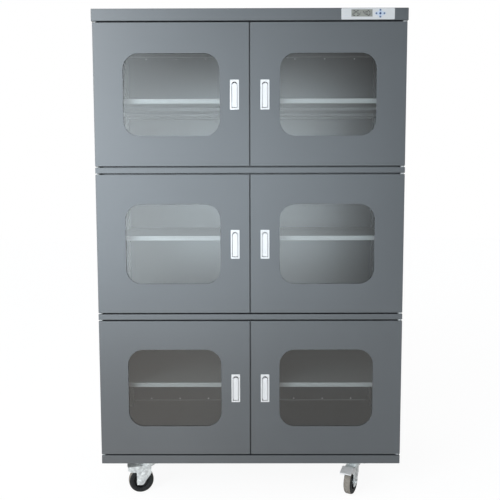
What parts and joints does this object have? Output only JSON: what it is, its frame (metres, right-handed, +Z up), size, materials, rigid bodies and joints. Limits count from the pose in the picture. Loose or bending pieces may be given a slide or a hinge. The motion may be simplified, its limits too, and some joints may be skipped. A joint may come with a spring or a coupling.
{
  "type": "electronic dry cabinet",
  "caption": "Tall steel storage cabinet with glazed doors, pan shelves, a drying unit, a display in the top cap and swivel casters.",
  "frame": {"origin": "on the floor under the middle of the cabinet, midway between its sides and between door faces and back", "axes": "+Z up, +X to the right of someone facing the doors, +Y from the doors to the back"},
  "size_m": [1.2, 0.7926, 1.91],
  "materials": {
    "body_paint": "semi-gloss wrinkle powder coat",
    "shelf_paint": "fine powder coat",
    "unit_paint": "satin",
    "window_glass": "clear tempered",
    "display_glass": "grey liquid crystal under clear cover",
    "bright_metal": "bright plated",
    "zinc_plate": "bright zinc",
    "seal_rubber": "matte",
    "white_nylon": "satin",
    "panel_white": "satin film",
    "key_blue": "satin",
    "key_navy": "satin",
    "board_green": "solder mask",
    "black_plastic": "moulded",
    "sieve": "porous beads in a cassette",
    "wheel_rubber": "worn rubber"
  },
  "bodies": {
    "cabinet": {"side_panels": "body_paint", "back_panel": "body_paint", "top_cap": "body_paint", "base_tray": "body_paint", "cross_rails": "body_paint", "centre_mullion": "body_paint", "shelves": "shelf_paint", "shelf_clips": "zinc_plate", "hinge_pins": "zinc_plate", "hinge_washers": "white_nylon", "door_gaskets": "seal_rubber", "display_bezel": "panel_white", "display_window": "display_glass", "control_board": "board_green", "dry_unit_case": "unit_paint", "dry_unit_core": "sieve", "caster_plates": "zinc_plate", "power_inlet": "black_plastic"},
    "upper_left_leaf": {"upper_left_door": "body_paint", "upper_left_glass": "window_glass", "upper_left_latch_case": "bright_metal"},
    "upper_left_handle": {"upper_left_lever": "bright_metal"},
    "upper_right_leaf": {"upper_right_door": "body_paint", "upper_right_glass": "window_glass", "upper_right_latch_case": "bright_metal"},
    "upper_right_handle": {"upper_right_lever": "bright_metal"},
    "middle_left_leaf": {"middle_left_door": "body_paint", "middle_left_glass": "window_glass", "middle_left_latch_case": "bright_metal"},
    "middle_left_handle": {"middle_left_lever": "bright_metal"},
    "middle_left_lock": {"middle_left_key_cylinder": "zinc_plate"},
    "middle_right_leaf": {"middle_right_door": "body_paint", "middle_right_glass": "window_glass", "middle_right_latch_case": "bright_metal"},
    "middle_right_handle": {"middle_right_lever": "bright_metal"},
    "middle_right_lock": {"middle_right_key_cylinder": "zinc_plate"},
    "lower_left_leaf": {"lower_left_door": "body_paint", "lower_left_glass": "window_glass", "lower_left_latch_case": "bright_metal"},
    "lower_left_handle": {"lower_left_lever": "bright_metal"},
    "lower_right_leaf": {"lower_right_door": "body_paint", "lower_right_glass": "window_glass", "lower_right_latch_case": "bright_metal"},
    "lower_right_handle": {"lower_right_lever": "bright_metal"},
    "front_left_swivel": {"front_left_fork": "zinc_plate"},
    "front_left_roller": {"front_left_wheel": "wheel_rubber"},
    "front_right_swivel": {"front_right_fork": "zinc_plate"},
    "front_right_roller": {"front_right_wheel": "wheel_rubber"},
    "front_right_pedal": {"front_right_brake": "bright_metal"},
    "rear_left_swivel": {"rear_left_fork": "zinc_plate"},
    "rear_left_roller": {"rear_left_wheel": "wheel_rubber"},
    "rear_left_pedal": {"rear_left_brake": "bright_metal"},
    "rear_right_swivel": {"rear_right_fork": "zinc_plate"},
    "rear_right_roller": {"rear_right_wheel": "wheel_rubber"},
    "key_up_button": {"key_up": "key_blue"},
    "key_down_button": {"key_down": "key_blue"},
    "key_left_button": {"key_left": "key_blue"},
    "key_right_button": {"key_right": "key_blue"},
    "key_centre_button": {"key_centre": "key_navy"},
    "vent_shutter": {"dry_unit_shutter": "zinc_plate"}
  },
  "joints": [
    {"name": "upper_left_hinge", "type": "hinge", "parent": "cabinet", "child": "upper_left_leaf", "pos_m": [-0.588, -0.341, 1.589], "axis": [0, 0, -1], "range_deg": [0, 110]},
    {"name": "upper_left_lift", "type": "hinge", "parent": "upper_left_leaf", "child": "upper_left_handle", "pos_m": [-0.058, -0.351, 1.623], "axis": [-1, 0, 0], "range_deg": [0, 35]},
    {"name": "upper_right_hinge", "type": "hinge", "parent": "cabinet", "child": "upper_right_leaf", "pos_m": [0.588, -0.341, 1.589], "axis": [0, 0, 1], "range_deg": [0, 110]},
    {"name": "upper_right_lift", "type": "hinge", "parent": "upper_right_leaf", "child": "upper_right_handle", "pos_m": [0.058, -0.351, 1.623], "axis": [-1, 0, 0], "range_deg": [0, 35]},
    {"name": "middle_left_hinge", "type": "hinge", "parent": "cabinet", "child": "middle_left_leaf", "pos_m": [-0.588, -0.341, 1.017], "axis": [0, 0, -1], "range_deg": [0, 110]},
    {"name": "middle_left_lift", "type": "hinge", "parent": "middle_left_leaf", "child": "middle_left_handle", "pos_m": [-0.058, -0.351, 1.051], "axis": [-1, 0, 0], "range_deg": [0, 35]},
    {"name": "middle_left_key_turn", "type": "hinge", "parent": "middle_left_handle", "child": "middle_left_lock", "pos_m": [-0.058, -0.355, 0.987], "axis": [0, 1, 0], "range_deg": [0, 90]},
    {"name": "middle_right_hinge", "type": "hinge", "parent": "cabinet", "child": "middle_right_leaf", "pos_m": [0.588, -0.341, 1.017], "axis": [0, 0, 1], "range_deg": [0, 110]},
    {"name": "middle_right_lift", "type": "hinge", "parent": "middle_right_leaf", "child": "middle_right_handle", "pos_m": [0.058, -0.351, 1.051], "axis": [-1, 0, 0], "range_deg": [0, 35]},
    {"name": "middle_right_key_turn", "type": "hinge", "parent": "middle_right_handle", "child": "middle_right_lock", "pos_m": [0.058, -0.355, 0.987], "axis": [0, 1, 0], "range_deg": [0, 90]},
    {"name": "lower_left_hinge", "type": "hinge", "parent": "cabinet", "child": "lower_left_leaf", "pos_m": [-0.588, -0.341, 0.445], "axis": [0, 0, -1], "range_deg": [0, 110]},
    {"name": "lower_left_lift", "type": "hinge", "parent": "lower_left_leaf", "child": "lower_left_handle", "pos_m": [-0.058, -0.351, 0.479], "axis": [-1, 0, 0], "range_deg": [0, 35]},
    {"name": "lower_right_hinge", "type": "hinge", "parent": "cabinet", "child": "lower_right_leaf", "pos_m": [0.588, -0.341, 0.445], "axis": [0, 0, 1], "range_deg": [0, 110]},
    {"name": "lower_right_lift", "type": "hinge", "parent": "lower_right_leaf", "child": "lower_right_handle", "pos_m": [0.058, -0.351, 0.479], "axis": [-1, 0, 0], "range_deg": [0, 35]},
    {"name": "front_left_turn", "type": "hinge", "parent": "cabinet", "child": "front_left_swivel", "pos_m": [-0.419, -0.297, 0.12], "axis": [0, 0, 1], "continuous": true},
    {"name": "front_left_roll", "type": "hinge", "parent": "front_left_swivel", "child": "front_left_roller", "pos_m": [-0.44798, -0.30477, 0.05], "axis": [0.2588, -0.9659, 0], "continuous": true},
    {"name": "front_right_turn", "type": "hinge", "parent": "cabinet", "child": "front_right_swivel", "pos_m": [0.419, -0.297, 0.12], "axis": [0, 0, 1], "continuous": true},
    {"name": "front_right_roll", "type": "hinge", "parent": "front_right_swivel", "child": "front_right_roller", "pos_m": [0.40538, -0.32373, 0.05], "axis": [0.891, -0.454, 0], "continuous": true},
    {"name": "front_right_brake_press", "type": "hinge", "parent": "front_right_swivel", "child": "front_right_pedal", "pos_m": [0.3963, -0.34155, 0.104], "axis": [0.891, -0.454, 0], "range_deg": [0, 10]},
    {"name": "rear_left_turn", "type": "hinge", "parent": "cabinet", "child": "rear_left_swivel", "pos_m": [-0.419, 0.297, 0.12], "axis": [0, 0, 1], "continuous": true},
    {"name": "rear_left_roll", "type": "hinge", "parent": "rear_left_swivel", "child": "rear_left_roller", "pos_m": [-0.41124, 0.32598, 0.05], "axis": [-0.9659, 0.2588, 0], "continuous": true},
    {"name": "rear_left_brake_press", "type": "hinge", "parent": "rear_left_swivel", "child": "rear_left_pedal", "pos_m": [-0.40606, 0.3453, 0.104], "axis": [-0.9659, 0.2588, 0], "range_deg": [0, 10]},
    {"name": "rear_right_turn", "type": "hinge", "parent": "cabinet", "child": "rear_right_swivel", "pos_m": [0.419, 0.297, 0.12], "axis": [0, 0, 1], "continuous": true},
    {"name": "rear_right_roll", "type": "hinge", "parent": "rear_right_swivel", "child": "rear_right_roller", "pos_m": [0.40874, 0.32519, 0.05], "axis": [-0.9397, -0.342, 0], "continuous": true},
    {"name": "key_up_press", "type": "slide", "parent": "cabinet", "child": "key_up_button", "axis": [0, 1, 0], "range_m": [0, 0.0008], "stiffness_N_per_m": 400, "springref_m": -0.001},
    {"name": "key_down_press", "type": "slide", "parent": "cabinet", "child": "key_down_button", "axis": [0, 1, 0], "range_m": [0, 0.0008], "stiffness_N_per_m": 400, "springref_m": -0.001},
    {"name": "key_left_press", "type": "slide", "parent": "cabinet", "child": "key_left_button", "axis": [0, 1, 0], "range_m": [0, 0.0008], "stiffness_N_per_m": 400, "springref_m": -0.001},
    {"name": "key_right_press", "type": "slide", "parent": "cabinet", "child": "key_right_button", "axis": [0, 1, 0], "range_m": [0, 0.0008], "stiffness_N_per_m": 400, "springref_m": -0.001},
    {"name": "key_centre_press", "type": "slide", "parent": "cabinet", "child": "key_centre_button", "axis": [0, 1, 0], "range_m": [0, 0.0008], "stiffness_N_per_m": 400, "springref_m": -0.001},
    {"name": "shutter_slide", "type": "slide", "parent": "cabinet", "child": "vent_shutter", "axis": [1, 0, 0], "range_m": [0, 0.012]}
  ]
}
